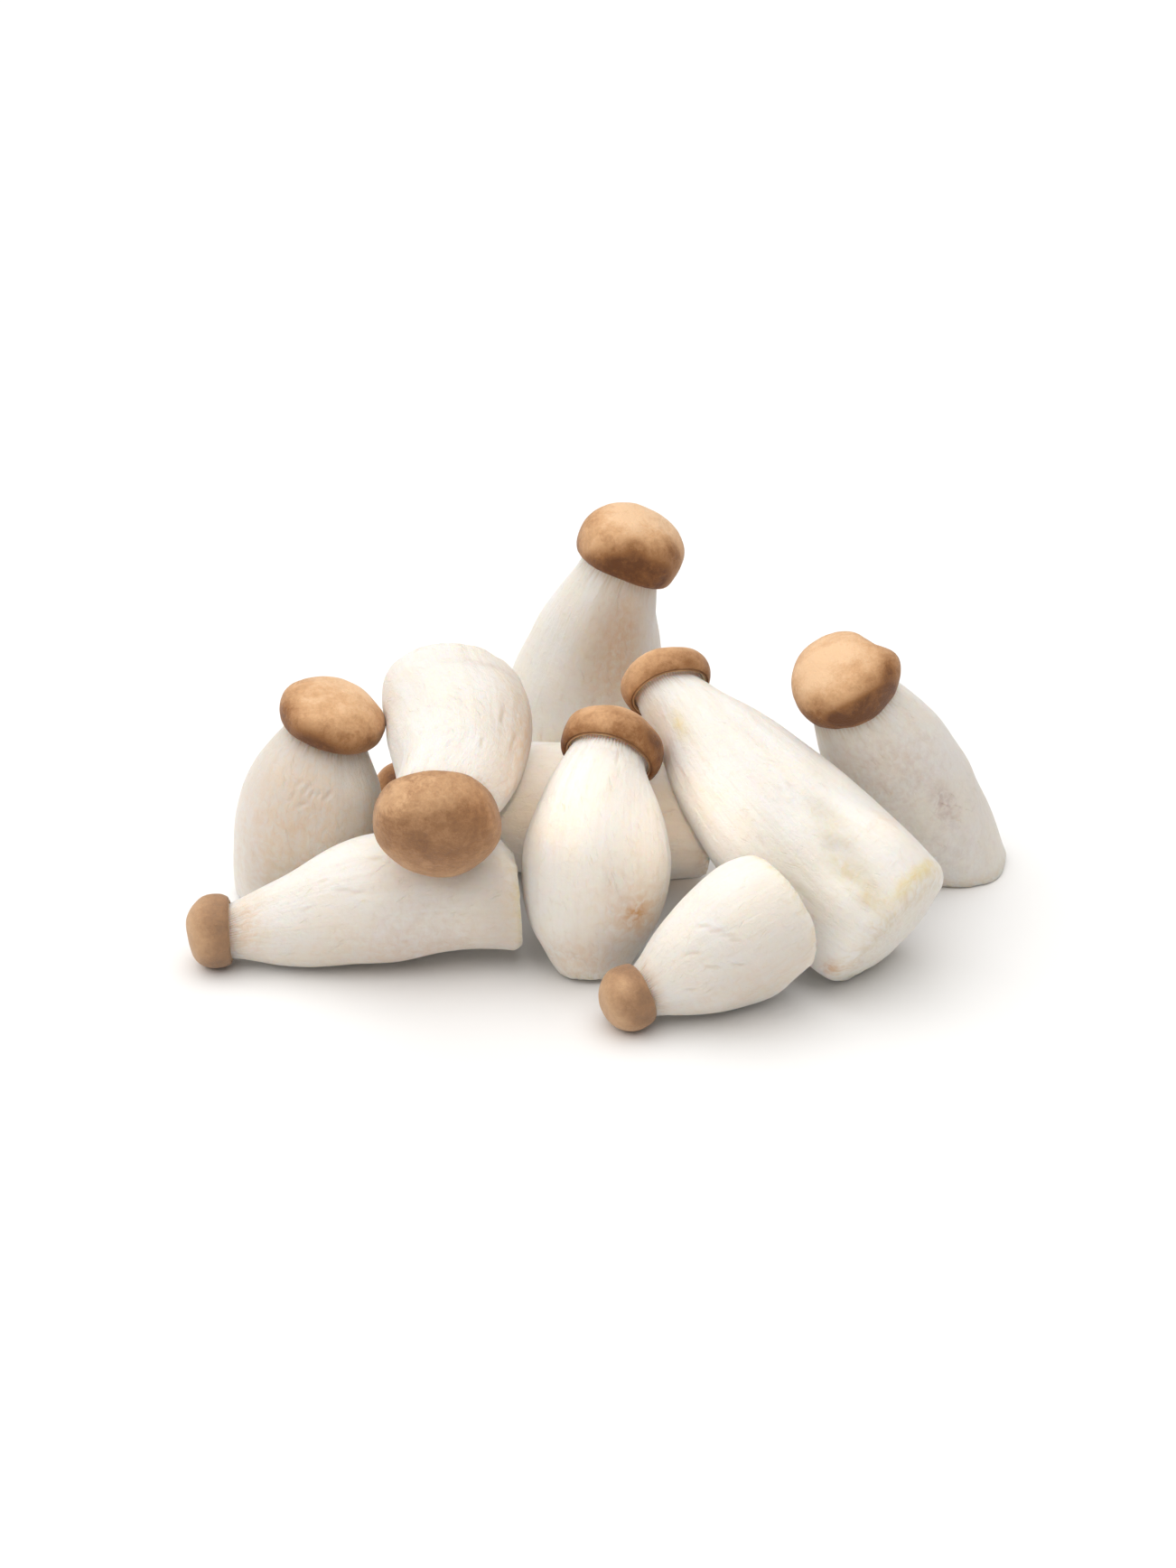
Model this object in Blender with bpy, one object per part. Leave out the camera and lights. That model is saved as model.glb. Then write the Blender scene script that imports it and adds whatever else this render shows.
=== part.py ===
"""King oyster mushroom cluster: nine cut mushrooms heaped on a flat surface.

Each mushroom grew in one piece, so each is one closed object: a foot cut flat, a fat stem swept along a
bowed centreline, gills that run a little way down the stem, and a small cap with a rolled-in edge.
Metres, +Z up. The origin is on the surface under the middle of the heap. The viewer's side is -Y.
"""

import math
import random
from dataclasses import dataclass

import bmesh
import bpy
from mathutils import Vector

MM = 0.001

# Sides of a ring on the smooth stem and cap, and on the gills, which have a ridge at every second corner.
SMOOTH_SIDES = 24
GILL_SIDES = 3 * SMOOTH_SIDES

# Where the rings of the stem lie, from the foot (0) to the underside of the cap (1).
STEM_STEPS = (0.04, 0.12, 0.22, 0.33, 0.44, 0.55, 0.66, 0.77, 0.86, 0.93)
FOOT_BLEND = 0.35
NECK_BLEND = 0.3

# The gills stand this far out of the flesh, and the groove that holds them goes this deep into the cap.
GILL_HEIGHT = 0.4 * MM
GILLS_START = 0.965
GROOVE_DEPTH = 2.2 * MM

# The cap: share of its height where it is widest, how far its lower edge rolls in, and how boxy the dome is.
WIDEST_AT = 0.36
ROLL_IN = 0.14
DOME_STEPS = (0.3, 0.55, 0.76, 0.92)
DOME_POWER = 2.2

# Out-of-round waves of a section: number of waves, share of the radius, turns of drift along the length.
WAVES = ((2, 0.020, 0.25), (3, 0.014, -0.35), (5, 0.006, 0.6))

# Angles round a stem start at the side that faces the viewer, who looks down a little.
VIEWER = Vector((0.0, -0.883, 0.469))

STEM_COLOUR = (0.86, 0.80, 0.71, 1.0)
CAP_COLOUR = (0.50, 0.28, 0.13, 1.0)


@dataclass
class Lobe:
    """A swelling of the stem, or a dent where height is negative. Angle and spread in degrees, height in mm."""

    angle: float
    along: float
    angle_spread: float
    along_spread: float
    height: float


@dataclass
class Lump:
    """A swelling of the cap, or a dent where height is negative. Degrees and mm. tilt is how far it lies from
    the crown: 90 is where the cap is widest."""

    angle: float
    tilt: float
    spread: float
    height: float


@dataclass
class Mushroom:
    """One mushroom. Points and radii in mm: foot, middle and neck lie on the stem's centreline, and crown is
    the top of the cap. stem holds the radii at five even steps from foot to neck. cut is the direction that
    the cut foot faces, or None where the cut is square to the stem, bulge is how far its middle stands out, and
    rim is the radius of its flat part, as a share of the stem's."""

    name: str
    foot: tuple
    middle: tuple
    neck: tuple
    crown: tuple
    stem: tuple
    cap: float
    cut: tuple = None
    bulge: float = 1.0
    rim: float = 0.93
    lobes: tuple = ()
    lumps: tuple = ()
    seed: int = 0


DOWN = (0, 0, -1)

MUSHROOMS = (
    Mushroom("left_standing", (-110.7, 3.4, 0), (-106.4, -6.1, 34.5), (-99.2, -2.8, 67), (-94.5, -2.8, 82),
             (24.2, 25.4, 25.5, 22.2, 13), 18.6, cut=DOWN, seed=11,
             lumps=(Lump(55, 85, 28, 0.8), Lump(150, 25, 30, 1), Lump(-20, 40, 25, -0.8))),
    Mushroom("left_lying", (-32, -46.3, 24.2), (-79.9, -46.7, 23.2), (-131.4, -50.4, 13.5), (-146.4, -51.4, 13),
             (19.6, 20.8, 22.5, 17.6, 9.4), 12.8, seed=12, cut=(0.994, 0.1, 0.05), bulge=-0.6,
             lobes=(Lobe(-90, 0.8, 50, 0.16, 2.4), Lobe(90, 0.8, 50, 0.16, -2.4), Lobe(-85, 0.15, 40, 0.18, -1.2))),
    Mushroom("crossing", (-54.7, 20.9, 66.8), (-52.3, -23.1, 66.7), (-57.6, -58.9, 67), (-58.6, -78.7, 58),
             (24.7, 25.6, 23.4, 19.8, 16.5), 21.2, seed=13,
             lobes=(Lobe(52, 0.03, 35, 0.2, 3.8), Lobe(-50, 0, 35, 0.2, -2.2)),
             lumps=(Lump(5, 90, 40, 1.2), Lump(175, 75, 40, 1.4))),
    Mushroom("back_standing", (-13.4, 75.5, 0), (-8.3, 67.5, 48.3), (4.8, 49.5, 106), (13.4, 51.7, 126.8),
             (27, 29.5, 28.8, 23.4, 13.8), 19.4, cut=DOWN, seed=14,
             lobes=(Lobe(90, 0.85, 40, 0.12, -1.8),), lumps=(Lump(-110, 75, 25, -1.2),)),
    Mushroom("back_lying", (36.2, 8.9, 24.3), (-17.8, 15.7, 25), (-68.4, 37, 17.8), (-87.4, 41.4, 15.5),
             (22, 24.6, 25.6, 21.6, 12.4), 14.2, seed=15),
    Mushroom("front_leaning", (-6.4, -54.1, 0.4), (-5, -44.9, 39.1), (-0.7, -20, 64), (3.9, -6.1, 71.6),
             (13, 23.2, 25.4, 20.8, 13.2), 18, seed=16, cut=(0, -0.17, -0.985)),
    Mushroom("front_lying", (57.7, -74.8, 34.2), (35.2, -81.7, 23.9), (10.9, -90.1, 12.8), (-2.4, -95.7, 8.8),
             (20.3, 23.2, 21.4, 16.9, 9), 11.5, seed=17, cut=(0.8, 0.55, 0.2),
             lobes=(Lobe(220, 0.4, 36, 0.35, 5), Lobe(80, 0.06, 45, 0.2, 2.2), Lobe(-75, 0.3, 30, 0.3, -4))),
    Mushroom("right_leaning", (95.6, -65.5, 21.2), (55.4, -29.7, 48.6), (21, 9.9, 74.6), (16.9, 21.6, 81),
             (27.8, 28.3, 26.5, 21, 11.8), 16.6, seed=18, cut=(0.68, -0.55, -0.49), bulge=4, rim=0.82,
             lobes=(Lobe(90, 0.15, 45, 0.2, 1.2), Lobe(45, 0.06, 30, 0.12, 2), Lobe(2, 0.1, 16, 0.12, -1.2),
                    Lobe(-45, 0.2, 35, 0.15, -4), Lobe(190, 0.72, 45, 0.12, -3), Lobe(-58, 0.85, 40, 0.1, -3.4)),
             lumps=(Lump(-120, 75, 50, -1.8),)),
    Mushroom("right_standing", (122.8, 24.9, 0), (105.3, 12.5, 38.3), (84.1, -1.7, 79.8), (76.4, -6.8, 99),
             (25.2, 24.4, 24.2, 22, 15.6), 18.6, cut=DOWN, seed=19,
             lumps=(Lump(72, 85, 26, 2.0), Lump(105, 65, 18, -2.4))),
)


def smoothstep(share):
    share = min(max(share, 0.0), 1.0)
    return share * share * (3 - 2 * share)


def even_steps(values, t):
    """The value at t, 0 to 1, of a smooth (Catmull-Rom) curve through values at even steps."""
    place = min(max(t, 0.0), 1.0) * (len(values) - 1)
    i = min(int(place), len(values) - 2)
    u = place - i
    before = values[i - 1] if i > 0 else 2 * values[0] - values[1]
    after = values[i + 2] if i + 2 < len(values) else 2 * values[-1] - values[-2]
    start, end = values[i], values[i + 1]
    slope_in, slope_out = (end - before) / 2, (after - start) / 2
    return (
        (2 * u**3 - 3 * u**2 + 1) * start
        + (u**3 - 2 * u**2 + u) * slope_in
        + (3 * u**2 - 2 * u**3) * end
        + (u**3 - u**2) * slope_out
    )


def centreline(m, t):
    """The point at t, and the unit direction towards the cap, on the parabola through foot, middle and neck."""
    foot, middle, neck = (Vector(p) * MM for p in (m.foot, m.middle, m.neck))
    point = foot * (1 - t) * (1 - 2 * t) + middle * 4 * t * (1 - t) + neck * t * (2 * t - 1)
    slope = foot * (4 * t - 3) + middle * (4 - 8 * t) + neck * (4 * t - 1)
    return point, slope.normalized()


def cap_axis(m):
    """The cap's unit direction and its height, from the neck to the crown."""
    rise = (Vector(m.crown) - Vector(m.neck)) * MM
    return rise.normalized(), rise.length


def out_of_round(m, angle, t):
    """The share of its radius that a section has at this angle: 1, give or take a few hundredths."""
    phases = random.Random(m.seed)
    share = 1.0
    for count, size, drift in WAVES:
        share += size * math.cos(count * angle + phases.uniform(0, math.tau) + math.tau * drift * t)
    return share


def lobe_height(m, angle, t):
    """How far the lobes lift the surface at this angle and place, in metres."""
    height = 0.0
    for lobe in m.lobes:
        turn = math.remainder(angle - math.radians(lobe.angle), math.tau) / math.radians(lobe.angle_spread)
        shift = (t - lobe.along) / lobe.along_spread
        height += lobe.height * MM * math.exp(-(turn**2) - shift**2)
    return height


def ring(bm, m, centre, normal, radius, t, sides=SMOOTH_SIDES, ripple=None):
    """A ring of corners in the plane at centre. ripple is added to every second corner and taken from the rest."""
    across = (VIEWER - normal * VIEWER.dot(normal)).normalized()
    beside = normal.cross(across)
    corners = []
    for i in range(sides):
        angle = math.tau * i / sides
        reach = radius * out_of_round(m, angle, t) + lobe_height(m, angle, t)
        spoke = across * math.cos(angle) + beside * math.sin(angle)
        point = centre + spoke * reach
        if ripple:
            outwards, upwards = ripple
            point += (spoke * outwards + normal * upwards) * (1 if i % 2 else -1)
        corners.append(bm.verts.new(point))
    return corners


def skin(bm, lower, upper):
    """Faces from one ring up to the next. Either ring may have three times the corners of the other."""
    fewer = min(len(lower), len(upper))
    for i in range(fewer):
        j = (i + 1) % fewer
        if len(lower) == len(upper):
            bm.faces.new((lower[i], lower[j], upper[j], upper[i]))
        elif len(lower) < len(upper):
            a, b, c, d = (upper[(3 * i + k) % len(upper)] for k in range(4))
            bm.faces.new((lower[i], b, a))
            bm.faces.new((lower[i], lower[j], c, b))
            bm.faces.new((lower[j], d, c))
        else:
            a, b, c, d = (lower[(3 * i + k) % len(lower)] for k in range(4))
            bm.faces.new((upper[i], a, b))
            bm.faces.new((upper[j], upper[i], b, c))
            bm.faces.new((upper[j], c, d))


def close(bm, corners, end):
    """A fan of triangles from a ring to the corner that ends the surface."""
    for i, corner in enumerate(corners):
        bm.faces.new((corner, corners[(i + 1) % len(corners)], end))


def section(m, t):
    """The centre, the unit normal and the radius of the stem's section at t. It turns from the cut to the cap."""
    point, direction = centreline(m, t)
    crownward, _ = cap_axis(m)
    inward = -Vector(m.cut).normalized() if m.cut else centreline(m, 0)[1]
    normal = inward.lerp(direction, smoothstep(t / FOOT_BLEND)).normalized()
    normal = normal.lerp(crownward, smoothstep((t - 1 + NECK_BLEND) / NECK_BLEND)).normalized()
    return point, normal, even_steps(m.stem, t) * MM


def stem_rings(bm, m):
    """Rings from the cut foot, whose middle may stand out a little, up to where the gills begin."""
    foot, inward, radius = section(m, 0)
    bulge = inward * m.bulge * MM
    rim = radius * m.rim
    rings = [
        ring(bm, m, foot - bulge * 0.7, inward, rim * 0.6, 0),
        ring(bm, m, foot, inward, rim, 0),
    ]
    for t in STEM_STEPS:
        rings.append(ring(bm, m, *section(m, t), t))
    return bm.verts.new(foot - bulge), rings


def gill_rings(bm, m):
    """The gills: down the top of the stem, across the groove in the cap, and out to the inner side of its edge."""
    neck, axis, stem = section(m, 1)
    inner_edge = m.cap * MM * (1 - 1.6 * ROLL_IN)
    middle = (stem + inner_edge) / 2
    places = (
        (stem, 0.0, (GILL_HEIGHT, 0.0)),
        (middle, GROOVE_DEPTH, (0.0, -GILL_HEIGHT)),
        (inner_edge, GROOVE_DEPTH / 2, (0.0, -GILL_HEIGHT)),
    )
    lowest = ring(bm, m, *section(m, GILLS_START), GILLS_START, GILL_SIDES)
    return [lowest] + [
        ring(bm, m, neck + axis * height, axis, radius, 1, GILL_SIDES, ripple)
        for radius, height, ripple in places
    ]


def swell(m, corners, heart, axis, dome):
    """Moves the corners of a ring of the cap away from its heart where it has a lump, and towards it at a dent."""
    for i, corner in enumerate(corners):
        angle = math.tau * i / len(corners)
        offset = corner.co - heart
        up = offset.dot(axis)
        tilt = math.atan2((offset - axis * up).length / (m.cap * MM), up / dome)
        lift = 0.0
        for lump in m.lumps:
            tilt_there, turn = math.radians(lump.tilt), angle - math.radians(lump.angle)
            nearness = math.cos(tilt) * math.cos(tilt_there) + math.sin(tilt) * math.sin(tilt_there) * math.cos(turn)
            apart = math.acos(min(max(nearness, -1.0), 1.0)) / math.radians(lump.spread)
            lift += lump.height * MM * math.exp(-(apart**2))
        corner.co += offset.normalized() * lift


def cap_rings(bm, m):
    """The cap's outside: its rolled-in lower edge, its widest ring, its dome and its crown."""
    axis, height = cap_axis(m)
    neck = Vector(m.neck) * MM
    widest = m.cap * MM
    level = height * WIDEST_AT
    places = [(widest * (1 - ROLL_IN), 0.0)]
    for turn in (30, 60):
        angle = math.radians(turn)
        places.append((widest * (1 - ROLL_IN * (1 - math.sin(angle))), level * (1 - math.cos(angle))))
    places.append((widest, level))
    for step in DOME_STEPS:
        angle = step * math.pi / 2
        places.append(
            (
                widest * math.cos(angle) ** (2 / DOME_POWER),
                level + (height - level) * math.sin(angle) ** (2 / DOME_POWER),
            )
        )
    rings = [ring(bm, m, neck + axis * up, axis, radius, 1) for radius, up in places]
    rings.append([bm.verts.new(Vector(m.crown) * MM)])
    for corners in rings:
        swell(m, corners, neck + axis * level, axis, height - level)
    return rings


def colour(name, rgba, roughness):
    material = bpy.data.materials.new(name)
    material.use_nodes = True
    shader = material.node_tree.nodes["Principled BSDF"]
    shader.inputs["Base Color"].default_value = rgba
    shader.inputs["Roughness"].default_value = roughness
    shader.inputs["Metallic"].default_value = 0.0
    material.diffuse_color = rgba
    return material


def build(m, materials):
    """One mushroom as one closed mesh. Whatever would be under the surface it lies on is pressed flat there."""
    bm = bmesh.new()
    foot, stem = stem_rings(bm, m)
    gills = gill_rings(bm, m)
    *cap, crown = cap_rings(bm, m)
    close(bm, list(reversed(stem[0])), foot)
    rings = stem + gills + cap
    for lower, upper in zip(rings, rings[1:]):
        skin(bm, lower, upper)
    close(bm, cap[-1], *crown)
    cap_corners = {corner for part in (*cap, crown) for corner in part}
    for face in bm.faces:
        if all(corner in cap_corners for corner in face.verts):
            face.material_index = 1
    for corner in bm.verts:
        corner.co.z = max(corner.co.z, 0.0)
    bmesh.ops.triangulate(bm, faces=bm.faces)
    bmesh.ops.recalc_face_normals(bm, faces=bm.faces)
    mesh = bpy.data.meshes.new(m.name)
    bm.to_mesh(mesh)
    bm.free()
    for material in materials:
        mesh.materials.append(material)
    mesh.shade_smooth()
    mesh.set_sharp_from_angle(angle=math.radians(50))
    obj = bpy.data.objects.new(m.name, mesh)
    bpy.context.scene.collection.objects.link(obj)
    return obj


def main():
    for old in list(bpy.data.objects):
        bpy.data.objects.remove(old)
    materials = (
        colour("stem_flesh", STEM_COLOUR, 0.55),
        colour("cap_skin", CAP_COLOUR, 0.6),
    )
    for m in MUSHROOMS:
        build(m, materials)


main()
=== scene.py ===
"""King oyster mushroom cluster: the looks of nine cut mushrooms heaped on a pale floor.

Each mushroom is one closed mesh, swept along the same centreline and sections as its solid, but with fine
rings, real gills, a lip under the cap, slight creases and lumps, nicks, and a torn rim round its cut foot.
Metres, +Z up. The viewer's side is -Y. In the functions, m is a mushroom and t is a place along its stem,
from the foot (0) to the neck (1).
"""

import itertools
import math
import random
from dataclasses import dataclass

import bpy
import numpy as np
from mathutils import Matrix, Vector


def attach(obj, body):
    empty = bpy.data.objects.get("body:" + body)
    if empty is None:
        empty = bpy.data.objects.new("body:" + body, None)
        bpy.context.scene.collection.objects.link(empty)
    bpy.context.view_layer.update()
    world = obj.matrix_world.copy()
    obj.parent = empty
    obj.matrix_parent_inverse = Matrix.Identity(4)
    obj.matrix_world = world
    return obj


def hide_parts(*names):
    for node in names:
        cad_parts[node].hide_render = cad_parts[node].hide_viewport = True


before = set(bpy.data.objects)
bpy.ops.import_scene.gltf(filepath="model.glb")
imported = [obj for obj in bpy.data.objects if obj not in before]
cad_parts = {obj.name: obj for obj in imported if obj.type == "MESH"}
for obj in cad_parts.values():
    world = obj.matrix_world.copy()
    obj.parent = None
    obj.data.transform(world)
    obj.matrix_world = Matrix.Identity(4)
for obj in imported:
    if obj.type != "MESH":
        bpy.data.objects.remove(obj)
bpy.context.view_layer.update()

MM = 0.001
QUARTER_TURN = math.pi / 2

# The mushrooms, as in the solids

# Shares of the stem's length: a section turns from the cut to the stem's own line within the first, and from
# that line to the cap's within the last.
FOOT_BLEND = 0.35
NECK_BLEND = 0.3

# The groove that holds the gills goes this deep into the cap.
GROOVE_DEPTH = 2.2 * MM

# The cap: share of its height where it is widest, how far its lower edge rolls in, and how boxy the dome is.
WIDEST_AT = 0.36
ROLL_IN = 0.14
DOME_POWER = 2.2

# Out-of-round waves of a section: number of waves, share of the radius, turns of drift along the length.
WAVES = ((2, 0.020, 0.25), (3, 0.014, -0.35), (5, 0.006, 0.6))

# Angles round a stem start at the side that faces the viewer, who looks down a little.
VIEWER = np.array([0.0, -0.883, 0.469])


@dataclass
class Lobe:
    """A swelling of the stem, or a dent where height is negative. Angle and its spread in degrees, along and
    its spread as shares of the stem's length, height in mm."""

    angle: float
    along: float
    angle_spread: float
    along_spread: float
    height: float


@dataclass
class Lump:
    """A swelling of the cap, or a dent where height is negative. Degrees and mm. tilt is how far it lies from
    the crown: 90 is where the cap is widest."""

    angle: float
    tilt: float
    spread: float
    height: float


@dataclass
class Mushroom:
    """One mushroom. Points and radii in mm: foot, middle and neck lie on the stem's centreline, and crown is
    the top of the cap. stem holds the radii at five even steps from foot to neck. cut is the direction that
    the cut foot faces, or None where the cut is square to the stem. bulge is how far its middle stands out,
    and rim is the radius of its flat part, as a share of the stem's."""

    name: str
    foot: tuple
    middle: tuple
    neck: tuple
    crown: tuple
    stem: tuple
    cap: float
    cut: tuple = None
    bulge: float = 1.0
    rim: float = 0.93
    lobes: tuple = ()
    lumps: tuple = ()
    seed: int = 0


DOWN = (0, 0, -1)

MUSHROOMS = (
    Mushroom("left_standing", (-110.7, 3.4, 0), (-106.4, -6.1, 34.5), (-99.2, -2.8, 67), (-94.5, -2.8, 82),
             (24.2, 25.4, 25.5, 22.2, 13), 18.6, cut=DOWN, seed=11,
             lumps=(Lump(55, 85, 28, 0.8), Lump(150, 25, 30, 1), Lump(-20, 40, 25, -0.8))),
    Mushroom("left_lying", (-32, -46.3, 24.2), (-79.9, -46.7, 23.2), (-131.4, -50.4, 13.5),
             (-146.4, -51.4, 13), (19.6, 20.8, 22.5, 17.6, 9.4), 12.8,
             cut=(0.994, 0.1, 0.05), bulge=-0.6, seed=12,
             lobes=(Lobe(-90, 0.8, 50, 0.16, 2.4), Lobe(90, 0.8, 50, 0.16, -2.4),
                    Lobe(-85, 0.15, 40, 0.18, -1.2))),
    Mushroom("crossing", (-54.7, 20.9, 66.8), (-52.3, -23.1, 66.7), (-57.6, -58.9, 67), (-58.6, -78.7, 58),
             (24.7, 25.6, 23.4, 19.8, 16.5), 21.2, seed=13,
             lobes=(Lobe(52, 0.03, 35, 0.2, 3.8), Lobe(-50, 0, 35, 0.2, -2.2)),
             lumps=(Lump(5, 90, 40, 1.2), Lump(175, 75, 40, 1.4))),
    Mushroom("back_standing", (-13.4, 75.5, 0), (-8.3, 67.5, 48.3), (4.8, 49.5, 106), (13.4, 51.7, 126.8),
             (27, 29.5, 28.8, 23.4, 13.8), 19.4, cut=DOWN, seed=14,
             lobes=(Lobe(90, 0.85, 40, 0.12, -1.8),),
             lumps=(Lump(-110, 75, 25, -1.2),)),
    Mushroom("back_lying", (36.2, 8.9, 24.3), (-17.8, 15.7, 25), (-68.4, 37, 17.8), (-87.4, 41.4, 15.5),
             (22, 24.6, 25.6, 21.6, 12.4), 14.2, seed=15),
    Mushroom("front_leaning", (-6.4, -54.1, 0.4), (-5, -44.9, 39.1), (-0.7, -20, 64), (3.9, -6.1, 71.6),
             (13, 23.2, 25.4, 20.8, 13.2), 18, cut=(0, -0.17, -0.985), seed=16),
    Mushroom("front_lying", (57.7, -74.8, 34.2), (35.2, -81.7, 23.9), (10.9, -90.1, 12.8), (-2.4, -95.7, 8.8),
             (20.3, 23.2, 21.4, 16.9, 9), 11.5, cut=(0.8, 0.55, 0.2), seed=17,
             lobes=(Lobe(220, 0.4, 36, 0.35, 5), Lobe(80, 0.06, 45, 0.2, 2.2), Lobe(-75, 0.3, 30, 0.3, -4))),
    Mushroom("right_leaning", (95.6, -65.5, 21.2), (55.4, -29.7, 48.6), (21, 9.9, 74.6), (16.9, 21.6, 81),
             (27.8, 28.3, 26.5, 21, 11.8), 16.6, cut=(0.68, -0.55, -0.49), bulge=4, rim=0.82, seed=18,
             lobes=(Lobe(90, 0.15, 45, 0.2, 1.2), Lobe(45, 0.06, 30, 0.12, 2), Lobe(2, 0.1, 16, 0.12, -1.2),
                    Lobe(-45, 0.2, 35, 0.15, -4), Lobe(190, 0.72, 45, 0.12, -3),
                    Lobe(-58, 0.85, 40, 0.1, -3.4)),
             lumps=(Lump(-120, 75, 50, -1.8),)),
    Mushroom("right_standing", (122.8, 24.9, 0), (105.3, 12.5, 38.3), (84.1, -1.7, 79.8), (76.4, -6.8, 99),
             (25.2, 24.4, 24.2, 22, 15.6), 18.6, cut=DOWN, seed=19,
             lumps=(Lump(72, 85, 26, 2.0), Lump(105, 65, 18, -2.4))),
)

# Shapes that only the looks have

# Creases, swellings and rounded corners of the stems, too slight for the solids.
FINE_LOBES = {
    "left_lying": (Lobe(90, 0.0, 60, 0.035, -4.4), Lobe(-90, 0.0, 45, 0.018, -1.2),
                   Lobe(20, 0.5, 25, 0.16, 0.5), Lobe(60, 0.3, 24, 0.12, -0.6)),
    "crossing": (Lobe(95, 0.86, 26, 0.1, -1.6), Lobe(-60, 0.4, 20, 0.12, 0.7),
                 Lobe(-35, 0.6, 12, 0.1, -0.5)),
    "back_standing": (Lobe(-20, 0.8, 16, 0.16, 0.7), Lobe(12, 0.82, 14, 0.2, -0.7),
                      Lobe(-55, 0.55, 20, 0.15, 0.5)),
    "front_leaning": (Lobe(-30, 0.12, 40, 0.05, -0.7), Lobe(25, 0.3, 18, 0.08, -0.6),
                      Lobe(48, 0.36, 14, 0.1, 0.5)),
    "front_lying": (Lobe(40, 0.0, 40, 0.02, -1.0), Lobe(20, 0.3, 24, 0.12, 0.5)),
    "right_leaning": (Lobe(47, 0.16, 18, 0.1, 4.0), Lobe(27, 0.31, 9, 0.07, -2.8),
                      Lobe(17, 0.23, 9, 0.055, -4.4), Lobe(8, 0.16, 10, 0.06, -4.8),
                      Lobe(0, 0.07, 10, 0.05, -2.0), Lobe(-20, 0.0, 36, 0.095, -7.0),
                      Lobe(180, 0.0, 42, 0.08, 3.6), Lobe(-82, 0.0, 26, 0.05, -2.4)),
    "right_standing": (Lobe(20, 0.5, 14, 0.1, -0.6), Lobe(-30, 0.7, 20, 0.1, 0.5),
                       Lobe(35, 0.3, 18, 0.1, 0.5)),
}

# Small dents and swellings of the caps.
FINE_LUMPS = {
    "left_standing": (Lump(-50, 30, 9, -0.5), Lump(-40, 14, 8, -0.5), Lump(157, 10, 8, -0.4),
                      Lump(20, 45, 22, 0.5)),
    "back_standing": (Lump(8, 72, 16, -0.7), Lump(-35, 28, 10, -0.4), Lump(60, 70, 22, 0.6)),
    "crossing": (Lump(45, 60, 16, 0.5), Lump(-10, 40, 14, -0.5), Lump(-60, 60, 18, 0.5)),
    "right_standing": (Lump(10, 60, 18, 0.5), Lump(-40, 80, 14, -0.4)),
    "front_lying": (Lump(30, 50, 20, 0.4), Lump(-50, 40, 16, -0.4)),
}

# Corners of a ring, three to a gill, and the angle of each.
GILLS = 72
SIDES = 3 * GILLS
ANGLES = math.tau * np.arange(SIDES) / SIDES

# Rings on the cut face, over the foot's edge, up the stem, across the groove, round the lip, up the cap's
# rolled edge and over its dome.
FACE_RINGS = 13
EDGE_RINGS = 7
STEM_RINGS = 104
GROOVE_RINGS = 9
LIP_RINGS = 9
ROLL_RINGS = 10
DOME_RINGS = 26

# The foot's edge is rounded over this share of the stem's length.
EDGE_ENDS = 0.04
# How flat the middle of a bulging cut face is.
BULGE_POWER = 2.2

# A gill begins between these shares of the stem's length, and is this high where it meets the cap.
GILLS_START = (0.9, 0.97)
GILL_HEIGHT = 0.3 * MM

# The skin ends in a thin lip under the cap: share of the cap's radius, and height over the neck in mm.
LIP = ((0.776, 1.1), (0.795, 0.1), (0.815, -0.4), (0.84, 0.42), (0.86, 0.0))

# Beside a nick the skin is raised: how far from its middle, in half widths, and how much of the nick's depth.
FLAP_AT = 1.8
FLAP_HEIGHT = 0.35


@dataclass
class Nick:
    """A scar in a stem: degrees round, share along, length and width in mm, degrees off the stem's own line,
    and depth in mm."""

    angle: float
    along: float
    length: float
    width: float
    lean: float
    depth: float = 0.5


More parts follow.
